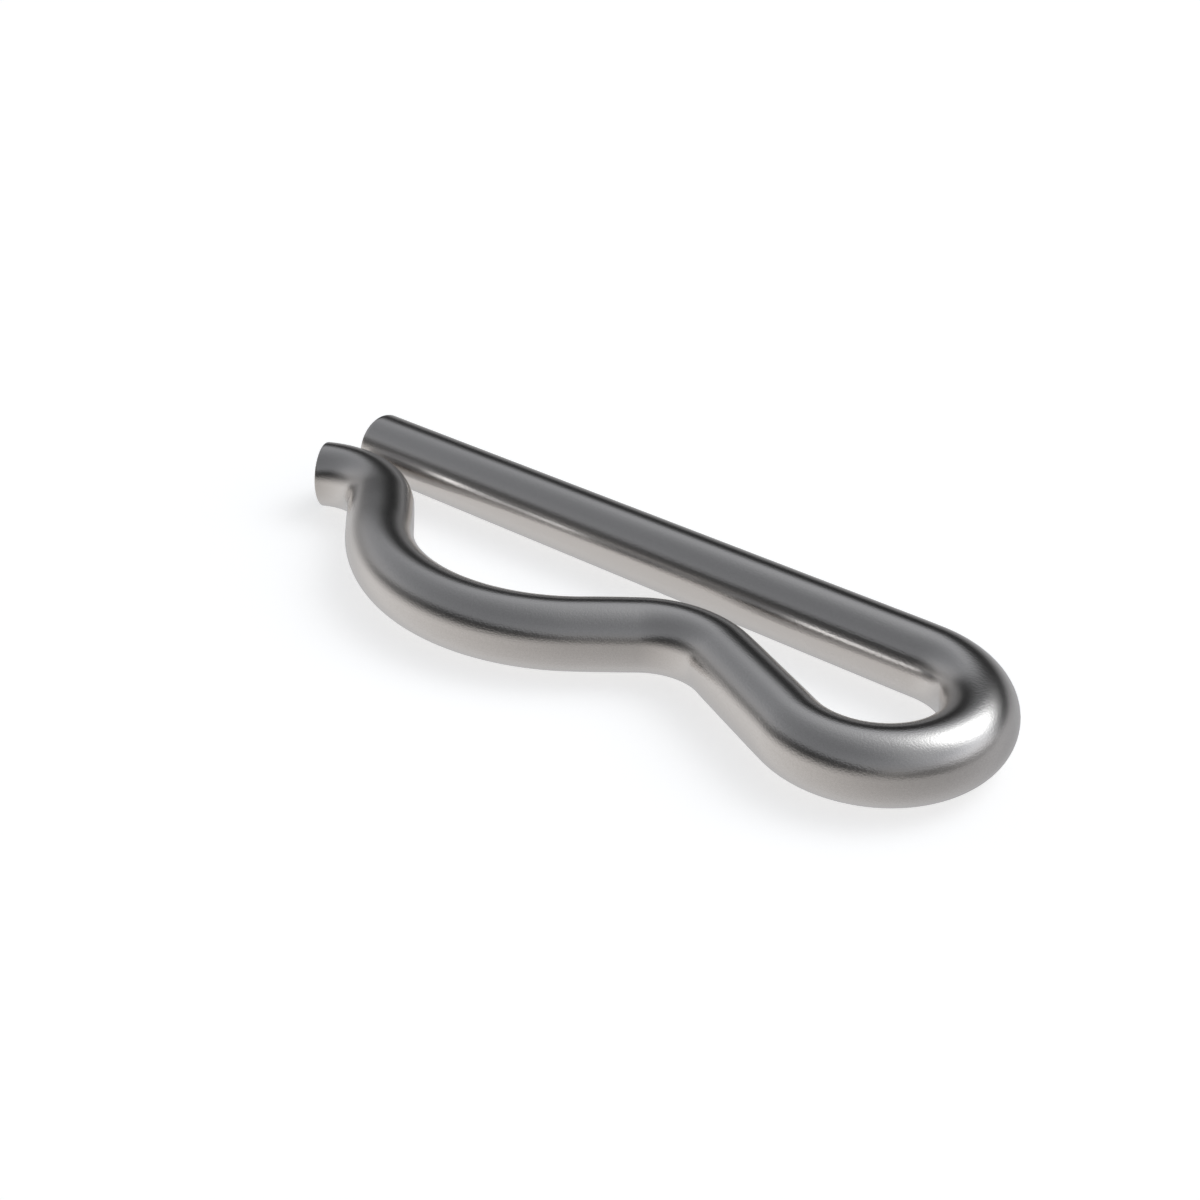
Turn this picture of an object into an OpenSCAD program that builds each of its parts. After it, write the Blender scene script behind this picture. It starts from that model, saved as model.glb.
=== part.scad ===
// Hairpin cotter, also called an R-clip: one round spring wire, cold bent in one plane.
// The straight leg goes through a cross hole in a shaft, and the wavy arm snaps over the
// shaft's outside: its lip opens the mouth, its crest holds the shaft and its belly seats on it.
//
// Origin: on the leg's axis, at the centre of the shaft.
// +X runs along the leg to the return bend, +Y points from the arm to the leg,
// and +Z is the shaft's axis, square to the plane in which the clip is bent.

/* [Wire] */
// Diameter of the wire
wire_d = 4; // [2.5:0.5:5]
// Loss of diameter where the wire is bent
bend_thinning = 0.02; // [0.01:0.01:0.1]
// Width of the bevel that takes the burr off each cut end
end_bevel = 0.1; // [0.05:0.05:0.3]

/* [Shaft and gaps] */
// Diameter of the shaft that the belly seats on
shaft_d = 20; // [14:1:32]
// Gap between the leg and the crest, which the shaft springs open
throat_gap = 2.4; // [0.6:0.2:4]
// Gap between the leg and the lip
mouth_gap = 0.6; // [0.2:0.2:3]

/* [Bends] */
// Inside radius of the return bend, which is the clip's spring
return_r = 3; // [2:0.5:6]
// Inside radius of the crest
crest_r = 3; // [1.5:0.5:6]
// Inside radius of the lip
lip_r = 3; // [1.5:0.5:6]
// Angle by which the lip's cut end points away from the leg
lip_flare = 28; // [10:1:60]

/* [Straight lengths] */
// Straight wire between the return bend and the crest
eye_run = 6.4; // [3:0.2:16]
// Straight wire between the crest and the belly
crest_run = 3.2; // [1:0.2:8]
// Straight wire between the belly and the lip
lip_run = 3.2; // [1:0.2:8]
// Reach of the leg past the narrowest place of the mouth
leg_lead = 2.6; // [0:0.2:12]

/* [Hidden] */
// Facets in a full turn, both round the wire and along its bends
$fn = 64;
wire_r = wire_d / 2;
bent_r = wire_r - bend_thinning / 2;
// Length over which a straight run tapers into a bend
taper_run = 0.1;
// Ends of a straight run, each as its length and its inset from the wire's surface.
// A taper goes in by twice the bend's own loss, so that it crosses the bend's surface.
cut_end = [end_bevel, end_bevel];
taper_end = [taper_run, bend_thinning];
bevel_reach = wire_r / 4;

// Radii of the wire's centre line in the bends
return_mid_r = return_r + wire_r;
crest_mid_r = crest_r + wire_r;
belly_mid_r = shaft_d / 2 + wire_r;
lip_mid_r = lip_r + wire_r;

// Depth of each bend's centre below the leg's axis; the belly is centred on the axis itself
return_depth = return_mid_r;
crest_depth = throat_gap + wire_d + crest_mid_r;
belly_depth = 0;
lip_depth = mouth_gap + wire_d + lip_mid_r;

// Distance along the leg between the centres of two opposite bends that a straight run joins
function bend_pitch(run, mid_r_sum, depth_step) =
    sqrt(pow(run, 2) + pow(mid_r_sum, 2) - pow(depth_step, 2));
eye_pitch = bend_pitch(eye_run, return_mid_r + crest_mid_r, crest_depth - return_depth);
crest_pitch = bend_pitch(crest_run, crest_mid_r + belly_mid_r, crest_depth - belly_depth);
lip_pitch = bend_pitch(lip_run, belly_mid_r + lip_mid_r, lip_depth - belly_depth);

// Rise of each straight run towards the leg, seen as the arm goes from the return bend to the
// lip: the rise of the line between its two bends' centres, and the run's angle to that line
eye_rise = atan2(return_depth - crest_depth, eye_pitch) + atan2(return_mid_r + crest_mid_r, eye_run);
crest_rise = atan2(crest_depth - belly_depth, crest_pitch) - atan2(crest_mid_r + belly_mid_r, crest_run);
lip_rise = atan2(belly_depth - lip_depth, lip_pitch) + atan2(belly_mid_r + lip_mid_r, lip_run);

// Turn of the wire in each bend
return_turn = 180 + eye_rise;
crest_turn = eye_rise - crest_rise;
belly_turn = lip_rise - crest_rise;
lip_turn = lip_rise + lip_flare;

// The leg, from its cut end to the return bend
leg_end_x = -lip_pitch - leg_lead;
leg_run = eye_pitch + crest_pitch - leg_end_x;

// Straight wire from the origin along +X, and what follows it
module straight(run, start = taper_end) {
    rotate([0, 90, 0])
        rotate_extrude()
            polygon([
                [0, 0],
                [wire_r - start[1], 0],
                [wire_r, start[0]],
                [wire_r, run - taper_end[0]],
                [wire_r - taper_end[1], run],
                [0, run]
            ]);
    translate([run, 0, 0])
        children();
}

// Bent wire from the origin, which it leaves along +X; a positive turn is to the left.
// It starts inside the straight run behind it, and runs on by run_out past its turn.
module bent_wire(mid_r, turn, run_out) {
    side = sign(turn);
    lead_in = arc_turn(taper_run, mid_r);
    translate([0, side * mid_r, 0])
        rotate_extrude(
            angle = turn + side * (lead_in + arc_turn(run_out, mid_r)),
            start = -side * (90 + lead_in)
        )
            translate([mid_r, 0])
                circle(r = bent_r);
}

// Turn that a length of wire takes up in a bend
function arc_turn(length, mid_r) = length / mid_r * 180 / PI;

// Moves to the end of a bend, and along the wire there
module bend_end(mid_r, turn) {
    side = sign(turn);
    translate([0, side * mid_r, 0])
        rotate([0, 0, turn])
            translate([0, -side * mid_r, 0])
                children();
}

// A bend and what follows it, into whose straight run it runs on
module bend(mid_r, turn) {
    bent_wire(mid_r, turn, taper_run);
    bend_end(mid_r, turn)
        children();
}

// The last bend, cut off at the end of its turn and bevelled
module last_bend(mid_r, turn) {
    difference() {
        bent_wire(mid_r, turn, 0);
        bend_end(mid_r, turn)
            bevel_cutter();
    }
}

// Ring that takes a bevel off the edge of wire that comes along +X and ends at the origin.
// It reaches past the wire by bevel_reach, outwards and beyond its end.
module bevel_cutter() {
    rotate([0, 90, 0])
        rotate_extrude()
            polygon([
                [bent_r - end_bevel - bevel_reach, bevel_reach],
                [bent_r + bevel_reach, bevel_reach],
                [bent_r + bevel_reach, -end_bevel - bevel_reach]
            ]);
}

// The whole clip in the order of its bending, from the leg's cut end to the lip's
module clip() {
    color([0.56, 0.56, 0.57])
        translate([leg_end_x, 0, 0])
            straight(leg_run, cut_end)
            bend(return_mid_r, -return_turn)
            straight(eye_run)
            bend(crest_mid_r, crest_turn)
            straight(crest_run)
            bend(belly_mid_r, -belly_turn)
            straight(lip_run)
            last_bend(lip_mid_r, lip_turn);
}

clip();
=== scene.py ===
"""A hairpin cotter of bright spring wire, lying on its side on a pale table in a grey studio."""
import math

import bmesh
import bpy
from mathutils import Matrix, Vector, noise


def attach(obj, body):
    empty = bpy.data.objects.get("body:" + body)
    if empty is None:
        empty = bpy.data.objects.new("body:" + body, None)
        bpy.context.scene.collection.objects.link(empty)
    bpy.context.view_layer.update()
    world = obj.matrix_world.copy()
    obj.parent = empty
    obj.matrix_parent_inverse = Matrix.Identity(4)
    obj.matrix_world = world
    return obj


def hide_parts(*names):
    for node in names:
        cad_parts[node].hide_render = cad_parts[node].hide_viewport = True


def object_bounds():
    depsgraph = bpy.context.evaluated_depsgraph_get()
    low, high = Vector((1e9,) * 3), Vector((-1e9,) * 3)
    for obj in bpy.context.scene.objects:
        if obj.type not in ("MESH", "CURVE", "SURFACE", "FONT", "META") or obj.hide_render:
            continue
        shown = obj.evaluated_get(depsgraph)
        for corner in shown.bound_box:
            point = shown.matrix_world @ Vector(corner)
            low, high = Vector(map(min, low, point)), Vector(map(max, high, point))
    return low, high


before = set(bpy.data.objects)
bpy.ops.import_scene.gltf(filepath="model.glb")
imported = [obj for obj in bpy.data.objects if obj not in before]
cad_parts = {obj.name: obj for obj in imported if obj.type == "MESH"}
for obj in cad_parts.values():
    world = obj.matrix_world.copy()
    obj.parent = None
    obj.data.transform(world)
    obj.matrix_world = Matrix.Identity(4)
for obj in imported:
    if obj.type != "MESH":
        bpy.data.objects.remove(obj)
cad_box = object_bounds()


# ---- The wire, drawn and cropped ---------------------------------------------------------------
# One length of round spring steel, drawn through a die, straightened and cropped at both ends.
# It is made straight here, as the real one is, with each bend's length of wire left in it.

wire_r = 0.002
shaft_d = 0.020
throat_gap = 0.0024
mouth_gap = 0.0006
tight_bend_r = 0.003                     # inside the return bend, the crest and the lip
eye_run, crest_run, lip_run = 0.0064, 0.0032, 0.0032
leg_lead = 0.0026
lip_flare = math.radians(28)

tight_mid_r = tight_bend_r + wire_r      # along the wire's centre line
belly_mid_r = shaft_d / 2 + wire_r
crest_depth = throat_gap + 2 * wire_r + tight_mid_r
lip_depth = mouth_gap + 2 * wire_r + tight_mid_r


def bend_pitch(run, mid_r_sum, depth_step):
    """Distance along the leg between the centres of two opposite bends that a run joins."""
    return math.sqrt(run ** 2 + mid_r_sum ** 2 - depth_step ** 2)


eye_pitch = bend_pitch(eye_run, 2 * tight_mid_r, crest_depth - tight_mid_r)
crest_pitch = bend_pitch(crest_run, tight_mid_r + belly_mid_r, crest_depth)
lip_pitch = bend_pitch(lip_run, belly_mid_r + tight_mid_r, lip_depth)
eye_rise = math.atan2(tight_mid_r - crest_depth, eye_pitch) + math.atan2(2 * tight_mid_r, eye_run)
crest_rise = math.atan2(crest_depth, crest_pitch) - math.atan2(tight_mid_r + belly_mid_r, crest_run)
lip_rise = math.atan2(-lip_depth, lip_pitch) + math.atan2(belly_mid_r + tight_mid_r, lip_run)
leg_end_x = -lip_pitch - leg_lead
leg_run = eye_pitch + crest_pitch - leg_end_x

# Each bend with the straight run before it, its radius and its turn, to the left if positive
bends = [
    (leg_run, tight_mid_r, -math.pi - eye_rise),
    (eye_run, tight_mid_r, eye_rise - crest_rise),
    (crest_run, belly_mid_r, crest_rise - lip_rise),
    (lip_run, tight_mid_r, lip_rise + lip_flare),
]

bend_thinning = 0.00002                  # diameter that the wire loses where it is bent
bent_r = wire_r - bend_thinning / 2
slimming_run = 0.001                     # straight wire over which it slims into a bend
bend_facet = math.radians(2.5)
sides_round = 96
rim_ring = 0.0003                        # a ring this far in keeps the bevel's shading off the wire

stations = [(rim_ring, wire_r)]          # each place where the straight wire gets a ring, and its radius
bend_starts = []
wire_length = 0
for run, mid_r, turn in bends:
    start = wire_length + run
    arc = mid_r * abs(turn)
    facets = math.ceil(abs(turn) / bend_facet)
    stations.append((start - slimming_run, wire_r))
    stations += [(start + arc * step / facets, bent_r) for step in range(facets + 1)]
    stations.append((start + arc + slimming_run, wire_r))
    bend_starts.append(start)
    wire_length = start + arc
stations.pop()                           # the lip is cut off where its bend ends

wire = bmesh.new()
bmesh.ops.create_circle(
    wire, cap_ends=True, segments=sides_round, radius=wire_r,
    matrix=Matrix.Rotation(math.radians(-90), 4, "Y"),
)
rim = list(wire.edges)
drawn_to, drawn_r = 0, wire_r
for place, radius in stations:
    drawn = bmesh.ops.extrude_edge_only(wire, edges=rim)["geom"]
    ring = [part for part in drawn if isinstance(part, bmesh.types.BMVert)]
    rim = [part for part in drawn if isinstance(part, bmesh.types.BMEdge)]
    bmesh.ops.translate(wire, verts=ring, vec=(place - drawn_to, 0, 0))
    bmesh.ops.scale(wire, verts=ring, vec=(1, radius / drawn_r, radius / drawn_r))
    drawn_to, drawn_r = place, radius
bmesh.ops.contextual_create(wire, geom=rim)
bmesh.ops.recalc_face_normals(wire, faces=wire.faces)


# ---- The cut ends ------------------------------------------------------------------------------
# The blade that crops the wire shears the first part of each end smooth, and the rest of it tears
# off a little behind that, rough and dull. A light bevel takes the burr off the rim.

end_bevel = 0.0001
sheared_share = 0.27                     # of the wire's diameter
tear_ragged = 0.00012                    # how far the tear's edge strays from straight
tear_ragged_length = 0.0006
tear_edge_cuts = 30
tear_step = 0.00003                      # how far the torn part lies behind the sheared part
tear_grid = 0.00015                      # mesh on the torn part, for its relief
tear_relief = 0.00004
tear_relief_length = 0.0005
tear_fractal = 1, 2, 3                   # dimension, lacunarity and octaves of both


def with_edges(faces):
    """The faces with their edges and corners, for an operator that cuts through them."""
    return list({part for face in faces for part in (face, *face.edges, *face.verts)})


cut_ends = [face for face in wire.faces if len(face.verts) == sides_round]
bmesh.ops.bevel(
    wire, geom=[edge for face in cut_ends for edge in face.edges],
    offset=end_bevel, offset_type="OFFSET", affect="EDGES",
    segments=3, profile=0.5, material=-1,
)
cut_ends = [face for face in wire.faces if len(face.verts) == sides_round]
for face in wire.faces:
    face.smooth = face not in cut_ends

shear_line = wire_r * (1 - 2 * sheared_share)
parted = bmesh.ops.bisect_plane(
    wire, geom=with_edges(cut_ends), plane_co=(0, 0, shear_line), plane_no=(0, 0, 1),
)
tear_edges = [part for part in parted["geom_cut"] if isinstance(part, bmesh.types.BMEdge)]
tear_line = bmesh.ops.subdivide_edges(wire, edges=tear_edges, cuts=tear_edge_cuts)
for part in tear_line["geom_inner"]:
    if isinstance(part, bmesh.types.BMVert):
        part.co.z += tear_ragged * noise.fractal(part.co / tear_ragged_length, *tear_fractal)
torn = [
    part for part in parted["geom"]
    if isinstance(part, bmesh.types.BMFace) and part.calc_center_median().z < shear_line
]
bmesh.ops.inset_region(
    wire, faces=torn, thickness=tear_step, depth=-tear_step, use_even_offset=True,
)
torn_geometry = with_edges(torn)
grid_lines = round(wire_r / tear_grid)
for across in (Vector((0, 1, 0)), Vector((0, 0, 1))):
    for line in range(-grid_lines, grid_lines + 1):
        torn_geometry = bmesh.ops.bisect_plane(
            wire, geom=torn_geometry, plane_co=across * tear_grid * line, plane_no=across,
        )["geom"]
torn = {part for part in torn_geometry if isinstance(part, bmesh.types.BMFace)}
for vert in {vert for face in torn for vert in face.verts}:
    if torn.issuperset(vert.link_faces):
        depth = tear_relief * (0.5 + noise.fractal(vert.co / tear_relief_length, *tear_fractal))
        vert.co -= depth * Vector((vert.normal.x, 0, 0))
for face in torn:
    face.smooth = True
    face.material_index = 1


# ---- The bends ---------------------------------------------------------------------------------
# The straight wire is bent cold round formers, in one plane. Each bend carries the wire beyond it
# round, so the lip is bent first and the return bend last, and the clip springs at that one.

drawn_place = wire.verts.layers.float_vector.new("drawn_place")
for vert in wire.verts:
    vert[drawn_place] = vert.co

for start, (run, mid_r, turn) in reversed(list(zip(bend_starts, bends))):
    side = math.copysign(1, turn)
    former = Vector((start, side * mid_r, 0))
    arc = mid_r * abs(turn)
    for vert in wire.verts:
        beyond = vert[drawn_place].x - start
        if beyond > 0:
            on_former = min(beyond, arc)
            swing = Matrix.Rotation(side * on_former / mid_r, 4, "Z")
            vert.co = former + swing @ (vert.co - Vector((on_former, 0, 0)) - former)
bmesh.ops.translate(wire, verts=wire.verts, vec=(leg_end_x, 0, 0))

clip_mesh = bpy.data.meshes.new("bent_wire")
wire.to_mesh(clip_mesh)
wire.free()
bent_wire = bpy.data.objects.new("bent_wire", clip_mesh)
bpy.context.scene.collection.objects.link(bent_wire)
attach(bent_wire, "root")
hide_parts("clip")


# ---- The finish --------------------------------------------------------------------------------
# Bright spring steel with a satin skin. The die leaves fine lines along the wire, and under them
# is the fine grain of the drawing soap and the pickling that came before it. Where the ends are
# torn, the steel is bare, duller and coarser.

class Shade:
    """A socket in a node tree. Arithmetic on it adds Math nodes, and node() adds any other."""

    def __init__(self, tree, socket=None):
        self.tree = tree
        self.socket = socket

    def node(self, kind, settings, inputs, output=0):
        """Adds a node, sets its settings, then gives its sockets their values or links."""
        node = self.tree.nodes.new(kind)
        for name, value in settings.items():
            setattr(node, name, value)
        for name, value in inputs.items():
            if isinstance(value, Shade):
                self.tree.links.new(value.socket, node.inputs[name])
            else:
                node.inputs[name].default_value = value
        return Shade(self.tree, node.outputs[output] if len(node.outputs) else None)

    def maths(self, operation, first, second):
        return self.node("ShaderNodeMath", {"operation": operation}, {0: first, 1: second})

    def __add__(self, other):
        return self.maths("ADD", self, other)

    def __sub__(self, other):
        return self.maths("SUBTRACT", self, other)

    def __rsub__(self, other):
        return self.maths("SUBTRACT", other, self)

    def __mul__(self, other):
        return self.maths("MULTIPLY", self, other)

    def __truediv__(self, other):
        return self.maths("DIVIDE", self, other)

    def __pow__(self, other):
        return self.maths("POWER", self, other)

    def __rpow__(self, other):
        return self.maths("POWER", other, self)

    def __neg__(self):
        return self.maths("MULTIPLY", self, -1)

    __radd__ = __add__
    __rmul__ = __mul__


def new_finish(name):
    """A material with no nodes yet, and the place on the straight wire for its patterns."""
    material = bpy.data.materials.new(name)
    material.use_nodes = True
    material.node_tree.nodes.clear()
    finish = Shade(material.node_tree)
    place = {"attribute_name": "drawn_place"}
    return material, finish.node("ShaderNodeAttribute", place, {}, "Vector")


def steel_noise(drawn_at, cells_along, cells_across, detail):
    """Noise on the straight wire, with that many cells to the metre along and across it."""
    stretch = {0: drawn_at, 1: (cells_along, cells_across, cells_across)}
    stretched = drawn_at.node("ShaderNodeVectorMath", {"operation": "MULTIPLY"}, stretch)
    looked_up = {"Vector": stretched, "Scale": 1, "Detail": detail}
    return drawn_at.node("ShaderNodeTexNoise", {}, looked_up, "Fac")


def steel_finish(material, drawn_at, colours, shade, roughness, relief, relief_height):
    """Ends a steel material, its colour between two at a shade and its skin raised by a relief."""
    mixed = {"Factor": shade, 6: colours[0], 7: colours[1]}
    bumped = {"Strength": 1, "Distance": relief_height, "Height": relief}
    steel = drawn_at.node("ShaderNodeBsdfPrincipled", {}, {
        "Base Color": drawn_at.node("ShaderNodeMix", {"data_type": "RGBA"}, mixed, 2),
        "Metallic": 1,
        "Roughness": roughness,
        "Normal": drawn_at.node("ShaderNodeBump", {}, bumped),
    })
    drawn_at.node("ShaderNodeOutputMaterial", {}, {"Surface": steel})
    clip_mesh.materials.append(material)


skin_colours = (0.585, 0.565, 0.548, 1), (0.745, 0.725, 0.708, 1)      # dull grains, bright grains
skin_roughness, skin_roughness_spread = 0.175, 0.05
skin_relief = 0.000008
bright, drawn_at = new_finish("bright_drawn_steel")
mottle = steel_noise(drawn_at, cells_along=150, cells_across=400, detail=2)
die_lines = steel_noise(drawn_at, cells_along=60, cells_across=14000, detail=3)
grain = steel_noise(drawn_at, cells_along=11000, cells_across=11000, detail=2)
steel_finish(
    bright, drawn_at, skin_colours,
    shade=grain * 0.6 + die_lines * 0.2 + mottle * 0.2,
    roughness=skin_roughness + (mottle - 0.5) * skin_roughness_spread,
    relief=grain * 0.8 + die_lines * 0.2, relief_height=skin_relief,
)

torn_colours = (0.28, 0.28, 0.285, 1), (0.46, 0.46, 0.46, 1)
torn_smoothest, torn_roughness_spread = 0.4, 0.2
torn_relief = 0.00003
torn_steel, drawn_at = new_finish("torn_steel")
crystals = steel_noise(drawn_at, cells_along=9000, cells_across=9000, detail=4)
steel_finish(
    torn_steel, drawn_at, torn_colours, shade=crystals,
    roughness=torn_smoothest + crystals * torn_roughness_spread,
    relief=crystals, relief_height=torn_relief,
)


# ---- The studio --------------------------------------------------------------------------------
# A grey studio with a pale floor. A large soft lamp hangs high behind the clip on its right, and
# dark drapes stand round it with one gap. The camera sees white, and the metal sees the studio.

world = bpy.data.worlds.new("studio")
bpy.context.scene.world = world
world.use_nodes = True
world.node_tree.nodes.clear()
room = Shade(world.node_tree)
looking = room.node("ShaderNodeTexCoord", {}, {}, "Generated")


def along(direction):
    """How far the look goes along a direction, from -1 to 1."""
    dotted = {0: looking, 1: direction}
    return room.node("ShaderNodeVectorMath", {"operation": "DOT_PRODUCT"}, dotted, "Value")


def towards(azimuth, amount):
    """How far the look goes towards an azimuth, level with the clip, times an amount."""
    turn = math.radians(azimuth)
    return along((amount * math.cos(turn), amount * math.sin(turn), 0))


def ramp(low, high):
    """0 where the look is lower than low, 1 where it is higher than high, and smooth between."""
    smooth = {"interpolation_type": "SMOOTHSTEP"}
    return room.node("ShaderNodeMapRange", smooth, {0: height, 1: low, 2: high})


def patch(azimuth, elevation, half_width, half_height, firmness=2):
    """A patch of the studio, 1 at its middle and fading at its edges, with its angles in degrees."""
    turn, lift = math.radians(azimuth), math.radians(elevation)
    outwards = Vector((math.cos(turn), math.sin(turn), 0))
    sideways = Vector((-math.sin(turn), math.cos(turn), 0))
    middle = math.cos(lift) * outwards + Vector((0, 0, math.sin(lift)))
    depth = room.maths("MAXIMUM", along(middle), 0.001)
    across = along(sideways / math.tan(math.radians(half_width))) / depth
    above = along(middle.cross(sideways) / math.tan(math.radians(half_height))) / depth
    return math.e ** -((across * across + above * above) ** (firmness / 2))


# Azimuths turn from +X, the way to the return bend, towards +Y, and a strength of 1 is white
height = along((0, 0, 1))
walls = 0.33 - 0.09 * ramp(0.5, 1) + towards(70, 0.09)
ground = 0.62 + towards(168, 0.22)
walls_share = ramp(-0.15, 0.25)
left_drape = 0.82 * patch(-106, 22, 55, 11, firmness=3)
right_drape = 0.95 * patch(105, 23, 54, 16, firmness=4)
right_drape_foot = 0.5 * patch(120, 0, 40, 10)
right_drape_shade = 0.3 * patch(120, -25, 65, 45)
far_doorway = 0.5 * patch(0, 10, 50, 10, firmness=4)
drape_gap = 0.12 * patch(195, 24, 30, 12)
lamp = 2.7 * patch(65, 49, 18, 17) + 0.21 * patch(60, 70, 50, 22)
lamp_spill = 0.5 * patch(30, 25, 25, 16)
studio_room = (ground * (1 - walls_share) + walls * walls_share) * (
    (1 - left_drape) * (1 - right_drape) * (1 - right_drape_foot) * (1 - right_drape_shade)
    * (1 - far_doorway)
) + drape_gap + lamp_spill

warm, cool = (1.03, 1.0, 0.975, 1), (0.965, 1.0, 1.065, 1)
lamp_tint = (0.975, 1.0, 1.015, 1)
coolness = 1 - (1 - ramp(0.05, 0.7)) * (0.7 + towards(-90, 0.3))
tint = room.node("ShaderNodeMix", {"data_type": "RGBA"}, {0: coolness, 6: warm, 7: cool}, 2)
room_light = room.node("ShaderNodeBackground", {}, {"Color": tint, "Strength": studio_room})
lamp_light = room.node("ShaderNodeBackground", {}, {"Color": lamp_tint, "Strength": lamp})
studio_light = room.node("ShaderNodeAddShader", {}, {0: room_light, 1: lamp_light})
white = room.node("ShaderNodeBackground", {}, {"Color": (1, 1, 1, 1), "Strength": 1})
seen_by_camera = room.node("ShaderNodeLightPath", {}, {}, "Is Camera Ray")
backdrop = room.node("ShaderNodeMixShader", {}, {0: seen_by_camera, 1: studio_light, 2: white})
room.node("ShaderNodeOutputWorld", {}, {"Surface": backdrop})


# ---- The floor ---------------------------------------------------------------------------------
# A pale matt table top that the clip lies on. It takes the clip's soft shadow, and is lifted to
# white for the camera. The metal looks through it to the ground of the studio.

floor_radius = 0.6
floor_grey = 0.8
floor_lift = 0.62                        # what the studio's level lacks, so that it looks white
table = bmesh.new()
bmesh.ops.create_circle(
    table, cap_ends=True, segments=96, radius=floor_radius,
    matrix=Matrix.Translation((0, 0, cad_box[0][2])),
)
floor_mesh = bpy.data.meshes.new("floor")
table.to_mesh(floor_mesh)
table.free()
floor = bpy.data.objects.new("floor", floor_mesh)
bpy.context.scene.collection.objects.link(floor)

white_table = bpy.data.materials.new("white_table")
white_table.use_nodes = True
white_table.node_tree.nodes.clear()
table_top = Shade(white_table.node_tree)
to_camera = table_top.node("ShaderNodeLightPath", {}, {}, "Is Camera Ray")
to_metal = table_top.node("ShaderNodeLightPath", {}, {}, "Is Glossy Ray")
grey = (floor_grey, floor_grey, floor_grey, 1)
matt = table_top.node("ShaderNodeBsdfDiffuse", {}, {"Color": grey})
lifting = {"Color": (1, 1, 1, 1), "Strength": to_camera * floor_lift}
lift = table_top.node("ShaderNodeEmission", {}, lifting)
lit = table_top.node("ShaderNodeAddShader", {}, {0: matt, 1: lift})
clear = table_top.node("ShaderNodeBsdfTransparent", {}, {})
surface = table_top.node("ShaderNodeMixShader", {}, {0: to_metal, 1: lit, 2: clear})
table_top.node("ShaderNodeOutputMaterial", {}, {"Surface": surface})
floor_mesh.materials.append(white_table)


# ---- The camera --------------------------------------------------------------------------------
# A camera with a 50 mm lens, close to the clip. It looks down on it from in front, past the
# return bend.

view_azimuth = math.radians(39.6)
view_elevation = math.radians(31.2)
view_distance = 0.0909
view_target = Vector((0.00615, -0.00599, 0))
backwards = Vector((
    math.sin(view_azimuth) * math.cos(view_elevation),
    -math.cos(view_azimuth) * math.cos(view_elevation),
    math.sin(view_elevation),
))
lens = bpy.data.cameras.new("camera")
lens.lens = 50
lens.sensor_width = 36
lens.clip_start = 0.001
camera = bpy.data.objects.new("camera", lens)
camera.location = view_target + view_distance * backwards
camera.rotation_euler = backwards.to_track_quat("Z", "Y").to_euler()
bpy.context.scene.collection.objects.link(camera)
bpy.context.scene.camera = camera
bpy.context.scene.view_settings.view_transform = "Standard"
